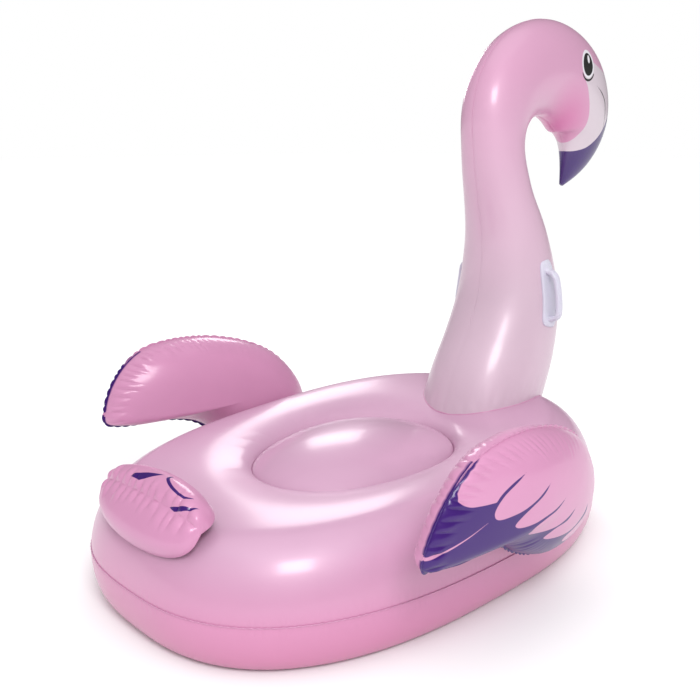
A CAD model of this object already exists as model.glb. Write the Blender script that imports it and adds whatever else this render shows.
import math

import bpy
import numpy as np
from mathutils import Matrix, Vector
from mathutils.bvhtree import BVHTree


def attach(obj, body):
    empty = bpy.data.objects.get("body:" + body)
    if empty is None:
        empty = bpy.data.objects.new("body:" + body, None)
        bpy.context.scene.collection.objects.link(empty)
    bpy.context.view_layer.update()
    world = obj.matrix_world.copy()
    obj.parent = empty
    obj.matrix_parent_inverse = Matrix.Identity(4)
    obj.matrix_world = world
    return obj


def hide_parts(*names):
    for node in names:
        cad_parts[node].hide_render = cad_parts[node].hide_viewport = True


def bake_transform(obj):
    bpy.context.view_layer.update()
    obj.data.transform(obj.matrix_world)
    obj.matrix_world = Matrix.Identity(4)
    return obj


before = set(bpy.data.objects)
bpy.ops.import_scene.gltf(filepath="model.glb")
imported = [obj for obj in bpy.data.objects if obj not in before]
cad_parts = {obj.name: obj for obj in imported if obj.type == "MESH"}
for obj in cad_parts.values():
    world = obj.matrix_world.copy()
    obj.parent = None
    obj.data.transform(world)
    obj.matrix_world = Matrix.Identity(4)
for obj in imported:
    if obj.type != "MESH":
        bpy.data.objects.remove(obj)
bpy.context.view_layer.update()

RIGHT, LEFT = -1, 1
SIDES = {"right": RIGHT, "left": LEFT}

# ---- Driving sizes, the same as the frame's ----
HULL = {
    "half_length": 0.570, "half_width": 0.396, "roundness": 2.65, "bow_widening": 0.03,
    "belly_z": 0.080, "seam_z": 0.098, "base_inset": 0.036,
    "crown_half_length": 0.479, "crown_half_width": 0.305, "crown_roundness": 2.55,
    "crown_z": 0.240, "bow_rise": 0.024,
}
SEAT = {
    "half_length": 0.240, "half_width": 0.177, "roundness": 2.1, "middle_y": 0.012,
    "weld_z": 0.196, "dome": 0.058, "shoulder": 0.7,
}
FLATNESS = 2.2  # how flat an inflated pillow is in its middle

# The gathers along each seam. reach is how far they run into the film, height how far they stand out.
HULL_SEAM_GATHERS = {"spacing": 0.013, "reach": 0.024, "height": 0.0008, "seed": 11}
HULL_WELD_GATHERS = {"spacing": 0.11, "reach": 0.07, "height": 0.0006, "seed": 12}
SEAT_GATHERS = {"spacing": 0.045, "reach": 0.045, "height": 0.0006, "seed": 13}
NECK_GATHERS = {"spacing": 0.030, "reach": 0.060, "height": 0.0016, "seed": 21}
WING_GATHERS = {"spacing": 0.020, "reach": 0.040, "height": 0.0052, "seed": 31}
TAIL_GATHERS = {"spacing": 0.023, "reach": 0.036, "height": 0.0058, "seed": 41}
HULL_GROOVE = {"width": 0.005, "height": 0.0010}  # the crease that a tight seam pulls into the film
NECK_GROOVE = {"width": 0.004, "height": 0.0007}
LOBE_ROUNDNESS = 0.8  # the shape across one gather
EDGE_THICKNESS = 0.0012  # of the two films welded together

# The neck and head from the hull to the beak's tip: middle y, z, half depth, half width
NECK_STATIONS = np.array([
    (-0.395, 0.165, 0.135, 0.142), (-0.434, 0.260, 0.142, 0.138), (-0.482, 0.357, 0.138, 0.134),
    (-0.510, 0.470, 0.122, 0.126), (-0.495, 0.618, 0.095, 0.102), (-0.458, 0.722, 0.075, 0.083),
    (-0.430, 0.832, 0.071, 0.073), (-0.438, 0.917, 0.092, 0.073), (-0.495, 0.987, 0.105, 0.075),
    (-0.614, 1.020, 0.113, 0.077), (-0.733, 0.977, 0.117, 0.074), (-0.787, 0.893, 0.108, 0.060),
    (-0.783, 0.838, 0.074, 0.040), (-0.756, 0.785, 0.039, 0.022), (-0.722, 0.741, 0.006, 0.005),
])

# The wing's seam in its own leaning plane, as y, z from the tip over the top to the root
WING_OUTLINE = np.array([
    (0.337, 0.229), (0.333, 0.262), (0.310, 0.310), (0.270, 0.354), (0.225, 0.380), (0.165, 0.390),
    (0.100, 0.390), (0.030, 0.381), (-0.050, 0.358), (-0.120, 0.322), (-0.173, 0.266), (-0.198, 0.208),
    (-0.194, 0.152), (-0.130, 0.114), (-0.035, 0.112), (0.055, 0.150), (0.125, 0.194), (0.205, 0.211),
    (0.295, 0.215),
])
WING = {"plane_x": 0.417, "sweep": 0.091, "lean": 0.139, "middle_y": 0.020}
OUTER = {"bulge": 0.072, "middle_z": 0.265, "tip_thinning": 0.35, "shoulder": 0.6}
INNER = {"bulge": -0.088, "middle_z": 0.228, "tip_thinning": 0.15, "shoulder": 0.5}

TAIL_TOP = np.array([(0.440, 0.250), (0.458, 0.275), (0.488, 0.288), (0.511, 0.280), (0.524, 0.260)])
TAIL_BOTTOM = np.array([(0.524, 0.260), (0.547, 0.237), (0.562, 0.206), (0.558, 0.182), (0.548, 0.170)])
TAIL = {"half_width": 0.150, "corner_y": 0.508, "corner_z": 0.230, "fullness": 0.7}

HANDLE = {
    "z": 0.492, "half_length": 0.083, "half_width": 0.026, "bottom": 0.0005, "plate": 0.0036,
    "stand_off": 0.020, "grip_half_length": 0.058, "grip_half_width": 0.0095, "grip_half_depth": 0.0060,
}
VALVE_PLACES = {
    "hull": {"point": (0.286, -0.461, 0.156), "heading": -41, "slope": 15},
    "neck": {"point": (0.0895, -0.541, 0.632), "heading": -30, "slope": 16},
}

# ---- Colours ----
PEARL_PINK = (0.56, 0.310, 0.460)
LOWER_PINK = (0.55, 0.195, 0.365)
GROUND_PINK = (0.55, 0.165, 0.325)
NECK_PINK = (0.59, 0.430, 0.525)
WING_PINK = (0.56, 0.250, 0.415)
HEAD_PINK = (0.59, 0.300, 0.455)
BLUSH = (0.55, 0.120, 0.320)
PURPLE = (0.036, 0.003, 0.135)
FACE_GREY = (0.60, 0.51, 0.57)
EYE_BLACK = (0.002, 0.002, 0.002)
WHITE = (0.75, 0.73, 0.78)
HANDLE_WHITE = (0.58, 0.56, 0.66)
CLEAR_PINK = (0.62, 0.46, 0.57)
CRISP = 0.0005  # the soft edge of a crisply printed shape, in metres


# ---- Curves and fields ----

def spline(points, shares, closed=False):
    """A centripetal Catmull-Rom curve through the points, read at shares from 0 to 1 of its spans."""
    points = np.asarray(points, float)
    if closed:
        padded, spans = np.vstack([points[-1:], points, points[:2]]), len(points)
    else:
        padded = np.vstack([2 * points[:1] - points[1:2], points, 2 * points[-1:] - points[-2:-1]])
        spans = len(points) - 1
    place = np.clip(shares, 0, 1) * spans
    index = np.minimum(place.astype(int), spans - 1)
    w = (place - index)[..., None]
    p0, p1, p2, p3 = (padded[index + k] for k in range(4))
    d0, d1, d2 = (
        np.sqrt(np.linalg.norm(b - a, axis=-1, keepdims=True)) for a, b in ((p0, p1), (p1, p2), (p2, p3))
    )
    t1 = ((p1 - p0) / d0 - (p2 - p0) / (d0 + d1) + (p2 - p1) / d1) * d1
    t2 = ((p2 - p1) / d1 - (p3 - p1) / (d1 + d2) + (p3 - p2) / d2) * d1
    return p1 + t1 * w + (3 * (p2 - p1) - 2 * t1 - t2) * w**2 + (2 * (p1 - p2) + t1 + t2) * w**3


def even_values(curve, first, last, count, closed=True):
    """Values between first and last at which a curve's points lie at even distances."""
    fine = np.linspace(first, last, 20 * count)
    walked = np.concatenate([[0], np.cumsum(np.linalg.norm(np.diff(curve(fine), axis=0), axis=-1))])
    wanted = np.linspace(0, walked[-1], count + 1 if closed else count)
    return np.interp(wanted[:count], walked, fine)


def evenly(count):
    return np.linspace(0, 1, count)


def smoothstep(value, low, high):
    """Eases from 0 at low to 1 at high."""
    t = np.clip((value - low) / (high - low), 0, 1)
    return t * t * (3 - 2 * t)


def mix(a, b, share):
    return a + (b - a) * share


def signed_power(value, power):
    return np.sign(value) * np.abs(value) ** power


def unit(vectors):
    return vectors / np.linalg.norm(vectors, axis=-1, keepdims=True)


def round_angles(count):
    return np.arange(count) * 2 * math.pi / count


def grid_normals(points, wrap):
    """Unit normals of a grid of points, along (next row) x (next column)."""
    along = np.gradient(points, axis=0)
    if wrap:
        across = np.roll(points, -1, axis=1) - np.roll(points, 1, axis=1)
    else:
        across = np.gradient(points, axis=1)
    normals = np.cross(along, across)
    return normals / np.maximum(np.linalg.norm(normals, axis=-1, keepdims=True), 1e-12)


def depth_down(points):
    """How far each point lies down its column from the first row."""
    steps = np.linalg.norm(np.diff(points, axis=0), axis=-1)
    return np.vstack([np.zeros((1, points.shape[1])), np.cumsum(steps, axis=0)])


def gather_cells(arc, length, spacing, seed):
    """The uneven gathers along a seam: each place's gather and how far across it, and each gather's
    share of the reach and height."""
    chance = np.random.default_rng(seed)
    count = max(3, round(length / spacing))
    widths = chance.uniform(0.65, 1.35, count)
    edges = np.concatenate([[0], np.cumsum(widths)]) * length / widths.sum()
    cell = np.clip(np.searchsorted(edges, arc, side="right") - 1, 0, count - 1)
    across = np.clip((arc - edges[cell]) / (edges[cell + 1] - edges[cell]), 0, 1)
    return cell, across, chance.uniform(0.6, 1.4, count), chance.uniform(0.45, 1.0, count)


def lobe(across):
    """The shape across one gather, from 0 at its edges to 1 in its middle."""
    return np.sin(math.pi * across) ** LOBE_ROUNDNESS


def gathers(arc, depth, length, spacing, reach, height, seed):
    """How far film gathered along a seam stands out. arc runs along the seam, and depth away from it."""
    cell, across, reaches, heights = gather_cells(arc, length, spacing, seed)
    away = np.clip(depth / (reach * reaches[cell]), 0, 1)
    rise_and_fade = 6.75 * away * (1 - away) ** 2
    return height * heights[cell] * rise_and_fade * (lobe(across) - 0.45)


def groove(depth, width, height):
    """How far a tight seam pulls the film in, at a depth away from it."""
    return -height * np.exp(-depth / width)


def signed_distance(points, outline):
    """Distance of flat points to a closed outline, positive inside it."""
    nearest = np.full(len(points), np.inf)
    inside = np.zeros(len(points), bool)
    for p, q in zip(outline, np.roll(outline, -1, axis=0)):
        edge = q - p
        along = np.clip(((points - p) @ edge) / max(edge @ edge, 1e-12), 0, 1)
        nearest = np.minimum(nearest, np.linalg.norm(points - p - along[:, None] * edge, axis=1))
        crosses = (p[1] > points[:, 1]) != (q[1] > points[:, 1])
        rise = edge[1] if edge[1] else 1e-12
        inside ^= crosses & (points[:, 0] < p[0] + (points[:, 1] - p[1]) * edge[0] / rise)
    return np.where(inside, nearest, -nearest)


def stroke_distance(points, middle, half_widths):
    """How far flat points lie inside a stroke along a line, whose half width changes along it."""
    deepest = np.full(len(points), -np.inf)
    for k in range(len(middle) - 1):
        edge = middle[k + 1] - middle[k]
        along = np.clip(((points - middle[k]) @ edge) / (edge @ edge), 0, 1)
        away = np.linalg.norm(points - middle[k] - along[:, None] * edge, axis=1)
        deepest = np.maximum(deepest, mix(half_widths[k], half_widths[k + 1], along) - away)
    return deepest


# ---- Meshes ----

def facing_out(points, faces):
    """The faces, turned over if they enclose a negative volume."""
    corners = points[np.array([face[:3] for face in faces])] - points.mean(0)
    volume = (corners[:, 0] * np.cross(corners[:, 1], corners[:, 2])).sum()
    return faces if volume > 0 else [face[::-1] for face in faces]


def add_object(name, data):
    thing = bpy.data.objects.new(name, data)
    bpy.context.scene.collection.objects.link(thing)
    return thing


def make_piece(name, points, faces, material, attributes=None):
    faces = facing_out(points, faces)
    mesh = bpy.data.meshes.new(name)
    mesh.from_pydata(points.tolist(), [], faces)
    for key, values in (attributes or {}).items():
        layer = mesh.attributes.new(key, "FLOAT", "POINT")
        layer.data.foreach_set("value", np.asarray(values, np.float32).ravel())
    mesh.validate()
    mesh.shade_smooth()
    mesh.materials.append(material)
    return add_object(name, mesh)


def grid_faces(rows, columns, wrap, first=0):
    j = np.arange(columns if wrap else columns - 1)
    k = (j + 1) % columns
    quads = [np.stack([i * columns + j, (i + 1) * columns + j, (i + 1) * columns + k, i * columns + k], 1)
             for i in range(rows - 1)]
    return (np.concatenate(quads) + first).tolist()


def grid_piece(name, grid, material, wrap=True, pole=False, attributes=None):
    """A skin from a grid of points. With pole, the first row is one point, closed by a fan of triangles."""
    rows, columns = grid.shape[:2]
    if not pole:
        return make_piece(name, grid.reshape(-1, 3), grid_faces(rows, columns, wrap), material, attributes)
    points = np.vstack([grid[0, :1], grid[1:].reshape(-1, 3)])
    faces = [[0, 1 + j, 1 + (j + 1) % columns] for j in range(columns)]
    faces += grid_faces(rows - 1, columns, True, first=1)
    kept = {}
    for key, values in (attributes or {}).items():
        kept[key] = np.concatenate([values[0, :1], values[1:].ravel()])
    return make_piece(name, points, faces, material, kept)


def tube_grid(middle, side_a, side_b, section):
    """A section's points, as (along side_a, along side_b), carried down a line."""
    return (middle[:, None, :] + side_a[:, None, :] * section[None, :, :1]
            + side_b[:, None, :] * section[None, :, 1:])


# A welded edge's section, as shares of its width and of its thickness
EDGE_SECTION = np.array([
    (-0.4, -0.5), (0.0, -0.5), (0.8, -0.5), (1.0, 0.0), (0.8, 0.5), (0.0, 0.5), (-0.4, 0.5),
])


def strip_piece(name, middle, out, up, widths, thickness, material, closed=True, paint=None):
    """The flat welded edge along a seam: a thin strip that stands out from the film."""
    offsets = EDGE_SECTION[None, :, :1] * widths[:, None, None] * out[:, None, :]
    grid = middle[:, None, :] + offsets + EDGE_SECTION[None, :, 1:] * thickness * up[:, None, :]
    if closed:
        grid = np.concatenate([grid, grid[:1]])
    return grid_piece(name, grid, material, wrap=True, attributes=paint(grid) if paint else None)


# ---- Materials ----

class Nodes:
    """A material's nodes, made and joined one call at a time."""

    def __init__(self, name):
        self.material = bpy.data.materials.new(name)
        self.material.use_nodes = True
        self.tree = self.material.node_tree
        self.shader = self.tree.nodes["Principled BSDF"]

    def add(self, kind, **inputs):
        node = self.tree.nodes.new(kind)
        for key, value in inputs.items():
            self.set(node.inputs[key.replace("_", " ")], value)
        return node

    def noise(self, scale, detail=4.0, roughness=0.55):
        place = self.add("ShaderNodeTexCoord").outputs["Object"]
        return self.add("ShaderNodeTexNoise", Vector=place, Scale=scale, Detail=detail, Roughness=roughness)

    def between(self, value, low, high, to_low=0.0, to_high=1.0):
        node = self.add("ShaderNodeMapRange", Value=value, From_Min=low, From_Max=high,
                        To_Min=to_low, To_Max=to_high)
        return node.outputs["Result"]

    def blend(self, share, under, over):
        node = self.tree.nodes.new("ShaderNodeMix")
        node.data_type = "RGBA"
        self.set(node.inputs[0], share)
        self.set(node.inputs[6], under)
        self.set(node.inputs[7], over)
        return node.outputs[2]

    def set(self, socket, value):
        if isinstance(value, bpy.types.NodeSocket):
            self.tree.links.new(value, socket)
        elif isinstance(value, tuple) and socket.type == "RGBA":
            socket.default_value = (*value, 1)
        else:
            socket.default_value = value

    def attribute(self, name):
        node = self.tree.nodes.new("ShaderNodeAttribute")
        node.attribute_name = name
        return node.outputs["Fac"]

    def print_share(self, name, softness):
        """1 inside a printed shape and 0 outside, from its signed distance."""
        return self.between(self.attribute(name), -softness, softness)

    def surface(self, **values):
        for key, value in values.items():
            self.set(self.shader.inputs[key.replace("_", " ")], value)

    def bump(self, *layers):
        """Small relief from (height, distance in metres) layers."""
        normal = None
        for height, distance in layers:
            node = self.add("ShaderNodeBump", Height=height, Strength=1.0, Distance=distance)
            if normal:
                self.tree.links.new(normal, node.inputs["Normal"])
            normal = node.outputs["Normal"]
        self.tree.links.new(normal, self.shader.inputs["Normal"])


def tinted(colour, factor):
    return tuple(min(1.0, c * factor) for c in colour)


def film_material(name, pink, prints=(), deeper=None, heights=(0.0, 0.1), pearl=1.0):
    """Pearly vinyl: a silvery flake sheen under a clear gloss, with printed colours laid over the pink.
    Between two heights the pink grows deeper towards the ground."""
    nodes = Nodes(name)
    cloud = nodes.between(nodes.noise(5.0, 3.0).outputs["Fac"], 0.3, 0.7)
    colour = nodes.blend(cloud, tinted(pink, 0.97), tinted(pink, 1.03))
    if deeper:
        place = nodes.add("ShaderNodeTexCoord").outputs["Object"]
        height = nodes.add("ShaderNodeSeparateXYZ", Vector=place).outputs["Z"]
        colour = nodes.blend(nodes.between(height, heights[1], heights[0]), colour, deeper)
    for attribute, ink, softness in prints:
        colour = nodes.blend(nodes.print_share(attribute, softness), colour, ink)
    nodes.surface(Base_Color=colour, Metallic=0.08, IOR=1.5, Specular_IOR_Level=pearl)
    nodes.surface(Coat_Weight=0.6, Coat_Roughness=0.18)
    nodes.surface(Roughness=nodes.between(cloud, 0, 1, 0.45, 0.51))
    slack = nodes.noise(9.0, 2.0).outputs["Fac"]
    grain = nodes.noise(420.0, 2.0).outputs["Fac"]
    nodes.bump((slack, 0.0012), (grain, 0.00005))
    return nodes.material


def plastic_material(name, colour, roughness=0.38):
    """Moulded vinyl with a fine spark-eroded grain."""
    nodes = Nodes(name)
    patches = nodes.noise(14.0, 3.0).outputs["Fac"]
    nodes.surface(Base_Color=nodes.blend(patches, tinted(colour, 0.95), tinted(colour, 1.04)))
    nodes.surface(Roughness=nodes.between(patches, 0.3, 0.7, roughness - 0.05, roughness + 0.06))
    nodes.surface(Subsurface_Weight=0.15, Subsurface_Radius=(0.004, 0.003, 0.004), IOR=1.5)
    nodes.bump((nodes.noise(260.0, 2.0).outputs["Fac"], 0.00008))
    return nodes.material


def floor_material():
    nodes = Nodes("studio_floor")
    patches = nodes.noise(1.5, 2.0).outputs["Fac"]
    nodes.surface(Base_Color=nodes.blend(patches, (0.87, 0.87, 0.87), (0.89, 0.89, 0.89)), Roughness=0.9)
    nodes.surface(Specular_IOR_Level=0.0)
    return nodes.material


# ---- Hull ----

AROUND = 1500  # points round the hull
BASE_PLAN = (HULL["half_length"] - HULL["base_inset"], HULL["half_width"] - HULL["base_inset"],
             HULL["roundness"], 0.0)
BELLY_PLAN = (HULL["half_length"], HULL["half_width"], HULL["roundness"], 0.0)
CROWN_PLAN = (HULL["crown_half_length"], HULL["crown_half_width"], HULL["crown_roundness"], 0.0)
SEAT_PLAN = (SEAT["half_length"], SEAT["half_width"], SEAT["roundness"], SEAT["middle_y"])
SEAM_TURN = 90 + math.degrees(
    math.asin((HULL["seam_z"] - HULL["belly_z"]) / (HULL["crown_z"] - HULL["belly_z"]))
)


def plan_points(angle, half_length, half_width, roundness, middle_y):
    """Points of a rounded plan outline, as x and y."""
    along = signed_power(np.sin(angle), 2 / roundness)
    across = signed_power(np.cos(angle), 2 / roundness)
    x = half_width * across * (1 - HULL["bow_widening"] * along)
    return np.stack(np.broadcast_arrays(x, middle_y + half_length * along), -1)


HULL_ANGLES = even_values(lambda a: plan_points(a, *BELLY_PLAN), 0, 2 * math.pi, AROUND)
HULL_PERIMETER = float(np.linalg.norm(
    np.diff(plan_points(np.append(HULL_ANGLES, 0), *BELLY_PLAN), axis=0), axis=-1).sum())
HULL_ARC = np.arange(AROUND) * HULL_PERIMETER / AROUND


def hull_grid(turns, angles=HULL_ANGLES):
    """The hull's skin, by turns in degrees: 0 is the base's edge, 90 the belly, 180 the crown and 270
    the seat's weld."""
    turn = turns[:, None]

    def pick(below_belly, below_crown, inside):
        return np.where(turn <= 90, below_belly, np.where(turn <= 180, below_crown, inside))

    swing = np.radians(pick(turn, turn - 90, turn - 180))
    sin, cos = np.sin(swing), np.cos(swing)
    plan = [
        pick(mix(base, belly, sin), mix(crown, belly, cos), mix(crown, seat, sin))
        for base, belly, crown, seat in zip(BASE_PLAN, BELLY_PLAN, CROWN_PLAN, SEAT_PLAN)
    ]
    xy = plan_points(angles[None, :], *plan)
    crown_z = HULL["crown_z"] - HULL["bow_rise"] * xy[..., 1] / HULL["half_length"]
    lower = HULL["belly_z"] * (1 - cos)
    upper = mix(HULL["belly_z"], crown_z, sin)
    inner = mix(SEAT["weld_z"], crown_z, cos)
    return np.concatenate([xy, pick(lower, upper, inner)[..., None]], -1)


def eased(count, crowding):
    """Values from 0 to 1, closer together at both ends."""
    t = evenly(count)
    return t - crowding * np.sin(2 * math.pi * t) / (2 * math.pi)


def hull_upper_film(material):
    grid = hull_grid(mix(SEAM_TURN, 270, eased(52, 0.8)))
    normals = -grid_normals(grid, True)
    from_seam = depth_down(grid)
    from_weld = from_seam[-1:] - from_seam
    lift = gathers(HULL_ARC, from_seam, HULL_PERIMETER, **HULL_SEAM_GATHERS)
    lift = lift + gathers(HULL_ARC, from_weld, HULL_PERIMETER, **HULL_WELD_GATHERS)
    lift = lift + groove(from_seam, **HULL_GROOVE)
    return grid_piece("hull_upper_film", grid + normals * lift[..., None], material)


def hull_lower_film(material):
    sides = hull_grid(mix(SEAM_TURN, 0, eased(22, 0.6)))
    normals = grid_normals(sides, True)
    from_seam = depth_down(sides)
    lift = gathers(HULL_ARC, from_seam, HULL_PERIMETER, **HULL_SEAM_GATHERS)
    lift = lift + groove(from_seam, **HULL_GROOVE)
    sides = sides + normals * (lift * smoothstep(sides[..., 2], 0.0, 0.02))[..., None]
    half_length, half_width, roundness, middle_y = BASE_PLAN
    rings = []
    for share in (0.75, 0.4, 0.0):
        xy = plan_points(HULL_ANGLES, half_length * share, half_width * share, roundness, middle_y)
        rings.append(np.concatenate([xy, np.zeros((AROUND, 1))], 1))
    grid = np.concatenate([sides, np.array(rings)])[::-1]
    return grid_piece("hull_lower_film", grid, material, pole=True)


def hull_seam(material):
    """The two films' welded edge round the hull."""
    line = hull_grid(np.array([SEAM_TURN - 0.5, SEAM_TURN, SEAM_TURN + 0.5]))
    out = -grid_normals(line, True)[1]
    out = out if (out[:, :2] * line[1, :, :2]).sum() > 0 else -out
    up = np.tile([0.0, 0.0, 1.0], (AROUND, 1))
    waves = round(HULL_PERIMETER / HULL_SEAM_GATHERS["spacing"])
    wave = np.sin(HULL_ARC * 2 * math.pi * waves / HULL_PERIMETER)
    middle = line[1] - out * 0.0016 + up * (0.0005 * wave)[:, None]
    widths = 0.0030 + 0.0004 * wave
    return strip_piece("hull_seam_weld", middle, out, up, widths, EDGE_THICKNESS, material)


def seat_film(material):
    share = 1 - eased(44, 0.6)
    share[0], share[-1] = 1, 0
    angles = HULL_ANGLES[::2]
    half_length, half_width, roundness, middle_y = SEAT_PLAN
    across = share[:, None]
    xy = plan_points(angles[None, :], half_length * across, half_width * across, roundness, middle_y)
    rise = SEAT["dome"] * (1 - share**FLATNESS) ** SEAT["shoulder"]
    z = np.broadcast_to((SEAT["weld_z"] + rise)[:, None], xy.shape[:2])
    grid = np.concatenate([xy, z[..., None]], -1)
    weld_length = float(np.linalg.norm(grid[0] - np.roll(grid[0], 1, axis=0), axis=-1).sum())
    arc = np.arange(len(angles)) * weld_length / len(angles)
    grid[..., 2] += gathers(arc, depth_down(grid), weld_length, **SEAT_GATHERS)
    return grid_piece("seat_film", grid[::-1], material, pole=True)


# ---- Neck and head ----

NECK_ROWS, NECK_COLUMNS = 460, 240
NECK_SMOOTHING = 7  # rows over which the neck's bends are eased
ROOT_ROWS = 70  # rows among which each column leaves the hull
NECK_EDGE = {"first": 0.16, "last": 0.985, "rows": 400, "width": 0.0012, "thickness": 0.0008}


def neck_line(along):
    return spline(NECK_STATIONS[:, :2], along)


def neck_frame(along):
    """The neck's middle, its half depth and half width, and its direction, in the y, z plane."""
    step = 1e-4
    ahead = neck_line(np.minimum(along + step, 1)) - neck_line(np.maximum(along - step, 0))
    return neck_line(along), spline(NECK_STATIONS[:, 2:], along), unit(ahead)


def neck_points(along, turn, lift=0.0):
    """Points of the neck. The turn goes from 0 at the nape over PI/2 on the left to PI at the throat."""
    along, turn, lift = np.broadcast_arrays(along, turn, lift)
    middle, size, ahead = neck_frame(along)
    back = np.stack([ahead[..., 1], -ahead[..., 0]], -1)
    yz = middle + back * ((size[..., 0] + lift) * np.cos(turn))[..., None]
    x = (size[..., 1] + lift) * np.sin(turn)
    return np.concatenate([x[..., None], yz], -1)


FACE_PATCH = np.array([  # the pale cheek, as y, z seen from the side
    (-0.690, 1.015), (-0.683, 1.000), (-0.688, 0.990), (-0.700, 0.977), (-0.712, 0.956), (-0.724, 0.934),
    (-0.734, 0.904), (-0.733, 0.878), (-0.726, 0.855), (-0.714, 0.843), (-0.680, 0.835), (-0.680, 0.760),
    (-0.960, 0.760), (-0.960, 0.985), (-0.850, 1.000), (-0.794, 1.016), (-0.752, 1.027), (-0.720, 1.036),
    (-0.700, 1.030),
])
BEAK_EDGE = np.array([(-0.680, 0.834), (-0.724, 0.824), (-0.749, 0.827), (-0.771, 0.834), (-0.791, 0.847),
                      (-0.809, 0.863), (-0.840, 0.905)])
SMILE = np.array([(-0.741, 0.982), (-0.763, 0.972), (-0.782, 0.961), (-0.797, 0.949), (-0.808, 0.932),
                  (-0.816, 0.905), (-0.822, 0.880)])
BLUSH_SPOT = {"y": -0.655, "z": 0.890, "radius": 0.055}
EYE = {"y": -0.697, "z": 1.029, "half_y": 0.0235, "half_z": 0.0265}


def eye_distance(y, z, growth, lower=0.0):
    """How far a point lies inside the eye's oval, grown by a margin and moved down."""
    half_y, half_z = EYE["half_y"] + growth, EYE["half_z"] + growth
    span = np.hypot((y - EYE["y"]) / half_y, (z - EYE["z"] + lower) / half_z)
    return (1 - span) * min(half_y, half_z)


def head_prints(grid):
    y, z = grid[..., 1].ravel(), grid[..., 2].ravel()
    flat = np.stack([y, z], 1)
    patch = signed_distance(flat, spline(FACE_PATCH, evenly(120), closed=True))
    beak_line = spline(BEAK_EDGE, evenly(60))
    beak_outline = np.vstack([beak_line, [(-1.0, 0.95), (-1.0, 0.6), (-0.66, 0.6)]])
    smile_line = spline(SMILE, evenly(40))
    taper = np.interp(evenly(40), [0, 0.25, 0.7, 1], [0.0004, 0.0016, 0.0018, 0.0010])
    arc = np.minimum(eye_distance(y, z, 0.0085, 0.0045), -eye_distance(y, z, 0.0058, 0.0020))
    fields = {
        "patch": patch, "beak": signed_distance(flat, beak_outline),
        "smile": stroke_distance(flat, smile_line, taper),
        "blush": BLUSH_SPOT["radius"] - np.hypot(y - BLUSH_SPOT["y"], z - BLUSH_SPOT["z"]),
        "eye_white": eye_distance(y, z, 0.0062, -0.0010), "eye": eye_distance(y, z, 0.0),
        "eye_line": np.minimum(arc, EYE["z"] - 0.020 - z),
        "glint": (1 - np.hypot((y - EYE["y"] + 0.004) / 0.0055, (z - EYE["z"] - 0.012) / 0.0095)) * 0.0055,
    }
    return {key: value.reshape(grid.shape[:2]) for key, value in fields.items()}


def smooth_rows(grid, spread):
    """Eases the bends along the columns of a grid, with its first and last rows held in place."""
    reach = 4 * spread
    weights = np.exp(-0.5 * (np.arange(-reach, reach + 1) / spread) ** 2)
    before = 2 * grid[:1] - grid[reach:0:-1]
    after = 2 * grid[-1:] - grid[-2:-reach - 2:-1]
    padded = np.concatenate([before, grid, after])
    rows = len(grid)
    return sum(w * padded[k:k + rows] for k, w in enumerate(weights / weights.sum()))


def neck_film(material, hull_tree):
    along = even_values(neck_line, 0, 1, NECK_ROWS, closed=False)
    turn = round_angles(NECK_COLUMNS)
    grid = smooth_rows(neck_points(along[:, None], turn[None, :]), NECK_SMOOTHING)
    normals = grid_normals(grid, True)
    middle = np.concatenate([np.zeros((len(along), 1)), neck_frame(along)[0]], 1)[:, None]
    normals = normals * np.sign((normals * (grid - middle)).sum(-1).mean())
    radius = NECK_STATIONS[0, 3]
    root_rows, root = neck_root(grid, hull_tree)
    depth = depth_down(grid) - np.take_along_axis(depth_down(grid), root_rows[None, :], 0)
    lift = gathers(turn[None, :] * radius, np.maximum(depth, 0), 2 * math.pi * radius, **NECK_GATHERS)
    seam_distance = np.minimum(np.abs(np.sin(turn / 2)), np.abs(np.cos(turn / 2)))[None, :] * 0.18
    lift = lift + groove(seam_distance, **NECK_GROOVE)
    grid = grid + normals * lift[..., None]
    tip = np.repeat(grid[-1].mean(0)[None, None], NECK_COLUMNS, axis=1)
    grid = np.concatenate([grid, tip])[::-1]
    return grid_piece("neck_film", grid, material, pole=True, attributes=head_prints(grid)), root


def neck_root(grid, hull_tree):
    """Where each column of the neck leaves the hull: its row, and the point there."""
    rows = []
    for j in range(grid.shape[1]):
        row = 0
        for i in range(ROOT_ROWS):
            point = Vector(grid[i, j])
            near, normal, _, _ = hull_tree.find_nearest(point)
            if (point - near).dot(normal) < 0:
                row = i
        rows.append(row)
    rows = np.array(rows)
    points = np.stack([(grid[r, j] + grid[r + 1, j]) / 2 for j, r in enumerate(rows)])
    smooth = sum(np.roll(points, k, axis=0) for k in (-2, -1, 0, 1, 2)) / 5
    return rows, smooth


def neck_seam(name, turn, material):
    """The films' welded edge down the nape or the throat."""
    first, last, rows = (NECK_EDGE[key] for key in ("first", "last", "rows"))
    along = even_values(neck_line, first, last, rows, closed=False)
    middle = smooth_rows(neck_points(along, turn), NECK_SMOOTHING)
    _, _, ahead = neck_frame(along)
    back = np.stack([0 * along, ahead[:, 1], -ahead[:, 0]], 1) * math.cos(turn)
    wave = np.sin(along * 2 * math.pi * 60)
    across = np.tile([1.0, 0.0, 0.0], (len(along), 1))
    middle = middle - back * 0.0010 + across * (0.0002 * wave)[:, None]
    widths = np.full(len(along), NECK_EDGE["width"])
    return strip_piece(name, middle, back, across, widths, NECK_EDGE["thickness"], material,
                       closed=False, paint=head_prints)


def weld_bead(name, points, radius, material):
    """A small round bead along a closed weld."""
    ahead = unit(np.roll(points, -1, axis=0) - np.roll(points, 1, axis=0))
    side = unit(np.cross(ahead, [0.0, 0.0, 1.0]))
    turn = round_angles(8)
    section = np.stack([np.cos(turn), np.sin(turn)], 1) * radius
    grid = tube_grid(points, side, np.cross(side, ahead), section)
    return grid_piece(name, np.concatenate([grid, grid[:1]]), material)


# ---- Wings ----

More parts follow.
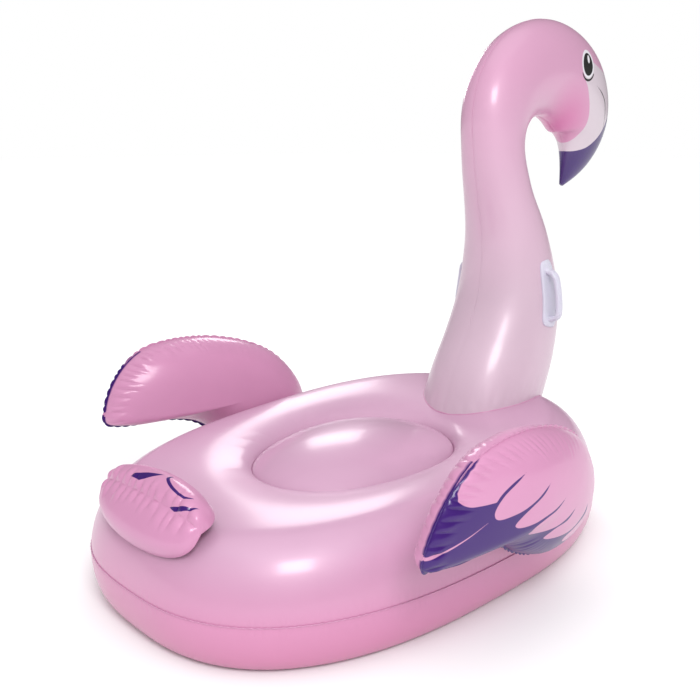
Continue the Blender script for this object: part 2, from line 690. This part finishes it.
WING_COLUMNS = 800

# The edge between the pink feathers and the purple field below them, from the wing's tip forward, as y, z.
# Each line ends in the point of a purple stroke, but the first, which ends where the first stroke begins.
FEATHERS = [
    [(0.200, 0.392), (0.250, 0.366), (0.277, 0.344), (0.2815, 0.331), (0.266, 0.320), (0.240, 0.317),
     (0.2125, 0.317)],
    [(0.2125, 0.317), (0.202, 0.327), (0.176, 0.341), (0.145, 0.351)],
    [(0.145, 0.351), (0.171, 0.338), (0.196, 0.324), (0.2125, 0.307), (0.216, 0.298), (0.213, 0.290),
     (0.204, 0.286), (0.175, 0.287), (0.152, 0.291), (0.123, 0.302), (0.101, 0.315), (0.087, 0.322)],
    [(0.087, 0.322), (0.108, 0.305), (0.133, 0.292), (0.155, 0.280), (0.1695, 0.268), (0.166, 0.2635),
     (0.155, 0.260), (0.122, 0.259), (0.097, 0.263), (0.060, 0.270), (0.032, 0.282)],
    [(0.032, 0.282), (0.058, 0.266), (0.090, 0.259), (0.118, 0.250), (0.1245, 0.2425), (0.121, 0.235),
     (0.109, 0.229), (0.068, 0.222), (0.030, 0.225), (-0.007, 0.239), (-0.021, 0.249)],
    [(-0.021, 0.249), (0.003, 0.226), (0.041, 0.218), (0.0577, 0.203), (0.046, 0.196), (0.004, 0.189),
     (-0.039, 0.189), (-0.073, 0.208), (-0.081, 0.226)],
    [(-0.081, 0.226), (-0.085, 0.201), (-0.046, 0.184), (-0.023, 0.174), (-0.025, 0.164), (-0.050, 0.154),
     (-0.090, 0.160), (-0.130, 0.174), (-0.240, 0.215)],
]
WING_LINE = np.array([(0.345, 0.246), (0.325, 0.252), (0.292, 0.261), (0.261, 0.272), (0.228, 0.287)])


def wing_plane(side, y, z):
    """Points of a wing's leaning plane."""
    x = side * (WING["plane_x"] + WING["sweep"] * y + WING["lean"] * z)
    return np.stack(np.broadcast_arrays(x, y, z), -1)


def wing_out(side):
    """The direction out of a wing's plane, away from the hull."""
    out = np.array([side, -WING["sweep"], -WING["lean"]])
    return out / np.linalg.norm(out)


WING_SHARES = even_values(lambda u: spline(WING_OUTLINE, u, closed=True), 0, 1, WING_COLUMNS)
WING_RIM = spline(WING_OUTLINE, WING_SHARES, closed=True)
WING_PERIMETER = float(np.linalg.norm(WING_RIM - np.roll(WING_RIM, 1, axis=0), axis=1).sum())
WING_ARC = np.arange(WING_COLUMNS) * WING_PERIMETER / WING_COLUMNS


def wing_grid(side, face, rows):
    """One inflated panel of a wing, and its points in the wing's plane."""
    share = (1 - (1 - evenly(rows)) ** 1.25)[:, None]
    middle = np.array([WING["middle_y"], face["middle_z"]])
    flat = middle + (WING_RIM[None] - middle) * share[..., None]
    thinning = 1 - face["tip_thinning"] * smoothstep(flat[..., 0], 0.06, 0.33)
    height = face["bulge"] * thinning * (1 - share**FLATNESS) ** face["shoulder"]
    depth = (1 - share) * np.linalg.norm(WING_RIM - middle, axis=1)[None, :]
    folds = gathers(WING_ARC[None, :], depth, WING_PERIMETER, **WING_GATHERS)
    tighter_at_tip = 0.2 + 0.8 * smoothstep(WING_RIM[:, 0], 0.0, 0.22)
    height = height + math.copysign(1, face["bulge"]) * folds * tighter_at_tip
    return wing_plane(side, flat[..., 0], flat[..., 1]) + height[..., None] * wing_out(side), flat


def feather_ink(flat):
    """How far points in the wing's plane lie inside its purple, which is below and past the feathers."""
    upper = [spline(np.array(feather), evenly(36))[:-1] for feather in FEATHERS]
    beyond = [(-0.30, 0.20), (-0.30, 0.05), (0.45, 0.05), (0.45, 0.45), (0.20, 0.45)]
    points = flat.reshape(-1, 2)
    ink = signed_distance(points, np.vstack([*upper, beyond]))
    line = spline(WING_LINE, evenly(50))
    pale_line = stroke_distance(points, line, np.linspace(0.0026, 0.0003, 50))
    return np.minimum(ink, -pale_line).reshape(flat.shape[:-1])


def wing_film(name, side, material):
    outer, flat = wing_grid(side, OUTER, 110)
    inner, inner_flat = wing_grid(side, INNER, 60)
    ink = feather_ink(flat)
    from_rim = np.linalg.norm(inner_flat - WING_RIM[None], axis=-1)
    wrapped_ink = np.where(ink[-1] > 0.001, 0.0012 - from_rim, -1)
    points = np.vstack([outer.reshape(-1, 3), inner[::-1].reshape(-1, 3)])
    faces = grid_faces(outer.shape[0], WING_COLUMNS, True)
    faces += grid_faces(inner.shape[0], WING_COLUMNS, True, first=outer[..., 0].size)
    marks = np.concatenate([ink.ravel(), wrapped_ink[::-1].ravel()])
    return make_piece(name, points, faces, material, {"feathers": marks})


def wing_seam(name, side, material):
    """A wing's welded edge, frilled by its gathers."""
    middle = wing_plane(side, WING_RIM[:, 0], WING_RIM[:, 1])
    ahead = unit(np.roll(middle, -1, axis=0) - np.roll(middle, 1, axis=0))
    up = np.tile(wing_out(side), (WING_COLUMNS, 1))
    out = np.cross(ahead, up)
    centre = wing_plane(side, WING["middle_y"], OUTER["middle_z"])
    out = out * np.sign((out * (middle - centre)).sum(-1).mean())
    across = gather_cells(WING_ARC, WING_PERIMETER, WING_GATHERS["spacing"], WING_GATHERS["seed"])[1]
    frill = lobe(across)
    middle = middle + up * (0.0010 * (frill - 0.5))[:, None] - out * 0.0012
    ink = feather_ink(WING_RIM - 0.002 * out[:, 1:])
    ink = np.append(ink, ink[:1])
    return strip_piece(name, middle, out, up, 0.0032 + 0.0026 * frill, EDGE_THICKNESS, material,
                       paint=lambda grid: {"feathers": np.repeat(ink[:, None], grid.shape[1], axis=1)})


# ---- Tail ----

TAIL_COLUMNS = 260
TAIL_WEDGES = [  # printed on the tail's top, as x and share of the way back to the seam
    [(0.058, 0.810), (0.050, 0.722), (0.0225, 0.612), (0.004, 0.552), (-0.013, 0.490), (-0.004, 0.590),
     (0.010, 0.712), (0.024, 0.820)],
    [(-0.078, 0.972), (-0.094, 0.886), (-0.119, 0.712), (-0.132, 0.515), (-0.125, 0.740), (-0.110, 0.898),
     (-0.093, 1.000)],
]
TAIL_CRESCENT = np.array([(-0.026, 0.43), (-0.030, 0.53), (-0.050, 0.615), (-0.070, 0.652), (-0.088, 0.654),
                          (-0.100, 0.605), (-0.109, 0.498)])
TAIL_SECTION_LENGTH = 0.105  # of the tail's top, from front to seam


def half_circle(angle):
    return np.stack([np.cos(angle), np.sin(angle)], 1)


def tail_grid(section, rows, seam_last):
    """One film of the tail, its points' places across it, and its rows' shares of the section. The
    puckered seam is at its last row or its first."""
    angle = even_values(half_circle, 0.0, math.pi, TAIL_COLUMNS, closed=False)
    size = (np.sin(angle) ** TAIL["fullness"])[None, :, None]
    share = evenly(rows)
    corner = np.array([TAIL["corner_y"], TAIL["corner_z"]])
    yz = corner + (spline(section, share)[:, None] - corner) * size
    x = np.broadcast_to(TAIL["half_width"] * np.cos(angle)[None, :], yz.shape[:2])
    grid = np.concatenate([x[..., None], yz], -1)
    normals = grid_normals(grid, False)
    normals = normals * math.copysign(1, normals[rows // 2, TAIL_COLUMNS // 2] @ np.array([0, 0.7, 0.7]))
    depth = depth_down(grid[::-1])[::-1] if seam_last else depth_down(grid)
    arc = grid[..., 0] + TAIL["half_width"]
    fade = smoothstep(size[..., 0], 0.0, 0.4)
    lift = gathers(arc, depth, 2 * TAIL["half_width"], **TAIL_GATHERS) * fade
    return grid + normals * lift[..., None], x, share


def tail_film(name, section, rows, on_top, material):
    grid, x, share = tail_grid(section, rows, on_top)
    flat = np.stack([x.ravel(), np.repeat(share, TAIL_COLUMNS) * TAIL_SECTION_LENGTH], 1)
    scale = np.array([1, TAIL_SECTION_LENGTH])
    ink = -np.ones(len(flat))
    if on_top:
        crescent = spline(TAIL_CRESCENT, evenly(40)) * scale
        widths = np.interp(evenly(40), [0, 0.15, 0.8, 1], [0.0020, 0.0032, 0.0028, 0.0006])
        shapes = [signed_distance(flat, np.array(wedge) * scale) for wedge in TAIL_WEDGES]
        ink = np.max([*shapes, stroke_distance(flat, crescent, widths)], axis=0)
    marks = {"feathers": ink.reshape(grid.shape[:2])}
    return grid_piece(name, grid, material, wrap=False, attributes=marks)


# ---- Grab handles ----

def handle_centre():
    """The handle's place along the neck, and how far the neck's middle runs per unit of that place."""
    along = np.linspace(0, 0.5, 2001)
    centre = float(along[np.argmin(np.abs(neck_line(along)[:, 1] - HANDLE["z"]))])
    ends = neck_line(np.array([centre - 0.005, centre + 0.005]))
    reach = float(np.linalg.norm(ends[1] - ends[0])) / 0.01
    return centre, reach


def on_handle(side, up, across, lift):
    """Points at a distance up the neck and across it from the handle's middle, lifted off the film."""
    centre, reach = handle_centre()
    depth = spline(NECK_STATIONS[:, 2:], np.array([centre]))[0, 0]
    turn = side * (math.pi / 2 + across / depth)
    along = centre + up / reach
    return neck_points(along, turn, lift)


def handle_plate(name, side, material):
    """A moulded pad with a rolled edge and a shallow recess under the grip."""
    angle = round_angles(96)
    up = HANDLE["half_length"] * signed_power(np.sin(angle), 2 / 6)
    across = HANDLE["half_width"] * signed_power(np.cos(angle), 2 / 4)
    top = HANDLE["bottom"] + HANDLE["plate"]
    profile = [
        (0.0, top - 0.0012), (0.45, top - 0.0012), (0.58, top - 0.0010), (0.66, top),
        (0.86, top + 0.0006), (0.93, top + 0.0003), (0.975, top - 0.0008), (1.0, top - 0.0022),
        (1.0, HANDLE["bottom"] - 0.001),
    ]
    grid = np.stack([on_handle(side, up * s, across * s, lift) for s, lift in profile])
    return grid_piece(name, grid, material, pole=True)


def handle_grip(name, side, material):
    """The bridge of the handle, thicker at its two feet."""
    top = HANDLE["bottom"] + HANDLE["plate"]
    lifts = np.array([(-1.06, -0.25), (-1.0, 0.15), (-0.93, 0.65), (-0.76, 0.96), (-0.4, 1.02), (0.4, 1.02),
                      (0.76, 0.96), (0.93, 0.65), (1.0, 0.15), (1.06, -0.25)])
    path = spline(lifts, evenly(90))
    up = path[:, 0] * HANDLE["grip_half_length"]
    middle = on_handle(side, up, 0.0, top + path[:, 1] * HANDLE["stand_off"])
    ahead = unit(np.gradient(middle, axis=0))
    across = on_handle(side, up, 0.004, top) - on_handle(side, up, -0.004, top)
    across = unit(across - ahead * (across * ahead).sum(1, keepdims=True))
    angle = round_angles(32)
    section = np.stack([HANDLE["grip_half_width"] * signed_power(np.cos(angle), 0.75),
                        HANDLE["grip_half_depth"] * signed_power(np.sin(angle), 0.75)], 1)
    flare = 1 + 0.55 * np.exp(-np.clip(path[:, 1] + 0.2, 0, 2) * 5)
    grid = tube_grid(middle, across * flare[:, None], np.cross(ahead, across) * flare[:, None], section)
    return grid_piece(name, grid, material)


# ---- Safety valves ----

VALVE = {
    "flange": 0.022, "bore": 0.0093, "sleeve": 0.0108, "sleeve_top": 0.005, "skirt": -0.004,
    "stem": 0.0088, "stem_bore": 0.0062, "stem_bottom": -0.008, "stem_top": 0.020,
    "lip": 0.011, "lip_height": 0.003,
    "cap": 0.0104, "cap_height": 0.0022, "tongue": 0.008, "hinge_x": -0.0125,
}


def rounded(profile, radius=0.0005, points=4):
    """A closed profile with its corners rounded."""
    profile = np.array(profile)
    out = []
    for k, corner in enumerate(profile):
        before, after = profile[k - 1] - corner, profile[(k + 1) % len(profile)] - corner
        reach = min(radius, 0.45 * np.linalg.norm(before), 0.45 * np.linalg.norm(after))
        start = corner + before / np.linalg.norm(before) * reach
        end = corner + after / np.linalg.norm(after) * reach
        for t in evenly(points):
            out.append((1 - t) ** 2 * start + 2 * t * (1 - t) * corner + t**2 * end)
    return np.array(out)


def lathe_grid(profile, segments=72):
    """A profile of radii and heights, turned round the Z axis."""
    turn = round_angles(segments)
    x, y = np.outer(profile[:, 0], np.cos(turn)), np.outer(profile[:, 0], np.sin(turn))
    return np.stack([x, y, np.repeat(profile[:, 1:], segments, axis=1)], -1)


def turned_piece(name, profile, material):
    grid = lathe_grid(rounded(profile))
    return grid_piece(name, np.concatenate([grid, grid[:1]]), material)


def valve_flange(name, material):
    v = VALVE
    return turned_piece(name, [
        (v["bore"], v["skirt"]), (v["sleeve"], v["skirt"]), (v["sleeve"], 0.0), (v["flange"], 0.0),
        (v["flange"], 0.0010), (v["flange"] - 0.003, 0.0018), (v["flange"] - 0.0045, 0.0013),
        (v["sleeve"] + 0.0025, 0.0015), (v["sleeve"] + 0.0008, 0.0024), (v["sleeve"], v["sleeve_top"]),
        (v["bore"], v["sleeve_top"]),
    ], material)


def valve_stem(name, material):
    v = VALVE
    neck = v["stem_top"] - v["lip_height"]
    return turned_piece(name, [
        (v["stem_bore"], v["stem_bottom"]), (v["stem"], v["stem_bottom"]), (v["stem"], 0.011),
        (v["stem"] - 0.0006, 0.0125), (v["stem"], 0.014), (v["stem"], neck), (v["lip"], neck + 0.0004),
        (v["lip"], v["stem_top"]), (v["stem_bore"], v["stem_top"]),
    ], material)


def strap_grid(start, end, z, rows=12, columns=16, half_thickness=0.0007):
    """A flat strap along X, narrower in its middle and closed at its ends."""
    x = np.linspace(start, end, rows)
    middle = np.stack([x, 0 * x, np.full(rows, z)], 1)
    half_widths = np.interp(evenly(rows), [0, 0.5, 1], [0.0036, 0.0024, 0.0034])
    angle = round_angles(columns)
    across, up = signed_power(np.cos(angle), 0.5), signed_power(np.sin(angle), 0.5)
    rings = [centre + np.stack([0 * angle, half_width * across, half_thickness * up], 1)
             for centre, half_width in zip(middle, half_widths)]
    return np.array([np.tile(middle[0], (columns, 1)), *rings, np.tile(middle[-1], (columns, 1))])


def valve_plug(name, material):
    """The cap with its tapered tongue, and the strap that it hinges on."""
    v = VALVE
    low, high = v["stem_top"] + 0.0005, v["stem_top"] + 0.0005 + v["cap_height"]
    bore = v["stem_bore"] - 0.0005
    cap = lathe_grid(rounded([
        (0.0002, low - v["tongue"]), (bore - 0.0013, low - v["tongue"]), (bore, v["stem_top"] - 0.003),
        (bore, low), (v["cap"], low), (v["cap"], high), (v["cap"] - 0.003, high),
        (v["cap"] - 0.004, high - 0.0005), (0.0002, high - 0.0005),
    ]))
    cap = np.concatenate([cap, cap[:1]])
    strap = strap_grid(-v["cap"] + 0.003, v["hinge_x"] - 0.0005, high - 0.0011)
    points = np.vstack([cap.reshape(-1, 3), strap.reshape(-1, 3)])
    faces = grid_faces(*cap.shape[:2], True)
    faces += grid_faces(*strap.shape[:2], True, first=cap[..., 0].size)
    return make_piece(name, points, faces, material)


def valve_flap(name, material):
    v = VALVE
    low, high = v["stem_bottom"] - 0.0015, v["stem_bottom"] - 0.0005
    radius = v["stem"] - 0.0014
    return turned_piece(name, [(0.0002, low), (radius, low), (radius, high), (0.0002, high)], material)


def place_valve(piece, place):
    """Turns a moulding made along +Z to look out of the film at the valve's place."""
    turn, tip = math.radians(place["heading"]), math.radians(90 - place["slope"])
    turned = Matrix.Rotation(turn, 4, "Z") @ Matrix.Rotation(tip, 4, "Y")
    piece.data.transform(Matrix.Translation(place["point"]) @ turned)


def add_valves(material):
    for owner, place in VALVE_PLACES.items():
        parts = {
            "flange": (valve_flange, owner), "stem": (valve_stem, f"{owner}_valve_slider"),
            "plug": (valve_plug, f"{owner}_valve_cap"), "flap": (valve_flap, f"{owner}_valve_check"),
        }
        for part, (maker, body) in parts.items():
            piece = maker(f"{owner}_valve_{part}_moulding", material)
            place_valve(piece, place)
            settle(piece, body, "valve_vinyl", f"{owner}_valve_{part}")


# ---- The whole float ----

def settle(piece, body, slot, *nodes):
    """Puts a piece on its body and its material slot, in place of its CAD nodes."""
    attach(piece, body)
    if nodes:
        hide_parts(*nodes)


def face_prints():
    """The head's printed marks, from the lowest to the one on top."""
    inks = {"patch": FACE_GREY, "beak": PURPLE, "eye_white": WHITE, "eye_line": EYE_BLACK,
            "smile": EYE_BLACK, "eye": EYE_BLACK, "glint": WHITE}
    return [("blush", BLUSH, 0.06), *((mark, ink, CRISP) for mark, ink in inks.items())]


def add_hull(pearl, lower, weld, vinyl):
    upper = hull_upper_film(pearl)
    settle(upper, "hull", "pearl_film", "hull_top_panel")
    settle(hull_lower_film(lower), "hull", "lower_film", "hull_bottom_panel")
    settle(hull_seam(weld), "hull", "lower_film")
    seat = seat_film(pearl)
    settle(seat, "hull", "pearl_film", "seat_panel")
    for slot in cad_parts["seat_baffle"].material_slots:
        slot.material = vinyl
    return upper


def add_neck(upper, ink, weld):
    tree = BVHTree.FromObject(upper, bpy.context.evaluated_depsgraph_get())
    neck, root = neck_film(ink, tree)
    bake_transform(neck)
    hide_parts("neck_right_panel", "neck_left_panel")
    for name, turn in (("nape_weld", 0.0), ("throat_weld", math.pi)):
        seam = neck_seam(name, turn, ink)
        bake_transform(seam)
    settle(weld_bead("neck_root_weld", root, 0.0016, weld), "hull", "pearl_film")


def add_wing(name, side, ink):
    wing = wing_film(f"wing_{name}_film", side, ink)
    edge = wing_seam(f"wing_{name}_weld", side, ink)
    for piece in (wing, edge):
        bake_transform(piece)
    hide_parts(f"wing_{name}_outer_panel", f"wing_{name}_inner_panel")


def add_handle(name, side, plastic):
    pad = handle_plate(f"handle_{name}_pad", side, plastic)
    settle(pad, "neck", "handle_plastic", f"handle_{name}_plate")
    bridge = handle_grip(f"handle_{name}_bridge", side, plastic)
    settle(bridge, "neck", "handle_plastic", f"handle_{name}_grip")


def add_tail(ink):
    top = tail_film("tail_top_film", TAIL_TOP, 90, True, ink)
    settle(top, "hull", "wing_film", "tail_top_panel")
    bottom = tail_film("tail_bottom_film", TAIL_BOTTOM, 60, False, ink)
    settle(bottom, "hull", "wing_film", "tail_bottom_panel")


def add_float():
    pearl = film_material("pearl_film", PEARL_PINK, deeper=LOWER_PINK, heights=(0.085, 0.20))
    lower = film_material("lower_film", LOWER_PINK, deeper=GROUND_PINK, heights=(0.0, 0.09))
    wing_ink = film_material("wing_film", WING_PINK, [("feathers", PURPLE, CRISP)], pearl=0.2)
    head_ink = film_material("neck_film", NECK_PINK, face_prints(), deeper=HEAD_PINK,
                             heights=(1.0, 0.50), pearl=0.7)
    weld = film_material("weld_edge", tinted(WING_PINK, 1.05))
    plastic = plastic_material("handle_plastic", HANDLE_WHITE)
    vinyl = plastic_material("valve_vinyl", CLEAR_PINK, roughness=0.3)

    upper = add_hull(pearl, lower, weld, vinyl)
    add_neck(upper, head_ink, weld)
    for name, side in SIDES.items():
        add_wing(name, side, wing_ink)
        add_handle(name, side, plastic)
    add_tail(wing_ink)
    add_valves(vinyl)


# ---- Studio ----

def aim(holder, location, target):
    holder.location = location
    holder.rotation_euler = (Vector(target) - Vector(location)).to_track_quat("-Z", "Y").to_euler()


def add_light(name, kind, energy, location, target):
    data = bpy.data.lights.new(name, kind)
    data.energy = energy
    aim(add_object(name, data), location, target)
    return data


def add_softbox(name, energy, location, target, size):
    softbox = add_light(name, "AREA", energy, location, target)
    softbox.shape = "SQUARE"
    softbox.size = size


SKY_IN_REFLECTIONS = 0.15  # a studio's ceiling is darker than its lamps


def add_world():
    """A white surround that is dimmer in reflections."""
    world = bpy.data.worlds.new("studio")
    world.use_nodes = True
    tree = world.node_tree
    sky = tree.nodes["Background"]
    sky.inputs["Color"].default_value = (1, 1, 1, 1)
    rays = tree.nodes.new("ShaderNodeLightPath")
    strength = tree.nodes.new("ShaderNodeMapRange")
    strength.inputs["To Min"].default_value = 1.0
    strength.inputs["To Max"].default_value = SKY_IN_REFLECTIONS
    tree.links.new(rays.outputs["Is Glossy Ray"], strength.inputs["Value"])
    tree.links.new(strength.outputs["Result"], sky.inputs["Strength"])
    bpy.context.scene.world = world


def add_floor(half=30.0):
    mesh = bpy.data.meshes.new("studio_floor")
    corners = [(-half, -half, 0), (half, -half, 0), (half, half, 0), (-half, half, 0)]
    mesh.from_pydata(corners, [], [(0, 1, 2, 3)])
    mesh.materials.append(floor_material())
    floor = add_object("studio_floor", mesh)
    floor.location.z = -0.0005


def add_studio():
    bpy.context.scene.view_settings.view_transform = "Standard"
    add_world()
    add_floor()
    add_softbox("key_softbox", 36, (-1.9, 1.3, 2.2), (-0.05, 0.0, 0.3), 0.85)
    add_softbox("back_softbox", 9, (1.9, -1.5, 1.5), (0.0, 0.0, 0.2), 0.7)
    fill = add_light("fill_sun", "SUN", 0.45, (0, 0, 5), (0.2, -0.1, 0))
    fill.angle = math.radians(60)


CAMERA_PLACE = (-1.2673, 1.2422, 0.8640)
CAMERA_AIM = (0.2634, -0.2257, 0.3420)


def add_camera():
    data = bpy.data.cameras.new("camera")
    data.lens, data.sensor_width = 44.93, 36.0
    data.clip_start, data.clip_end = 0.05, 100
    camera = add_object("camera", data)
    aim(camera, CAMERA_PLACE, CAMERA_AIM)
    bpy.context.scene.camera = camera


add_float()
add_studio()
add_camera()
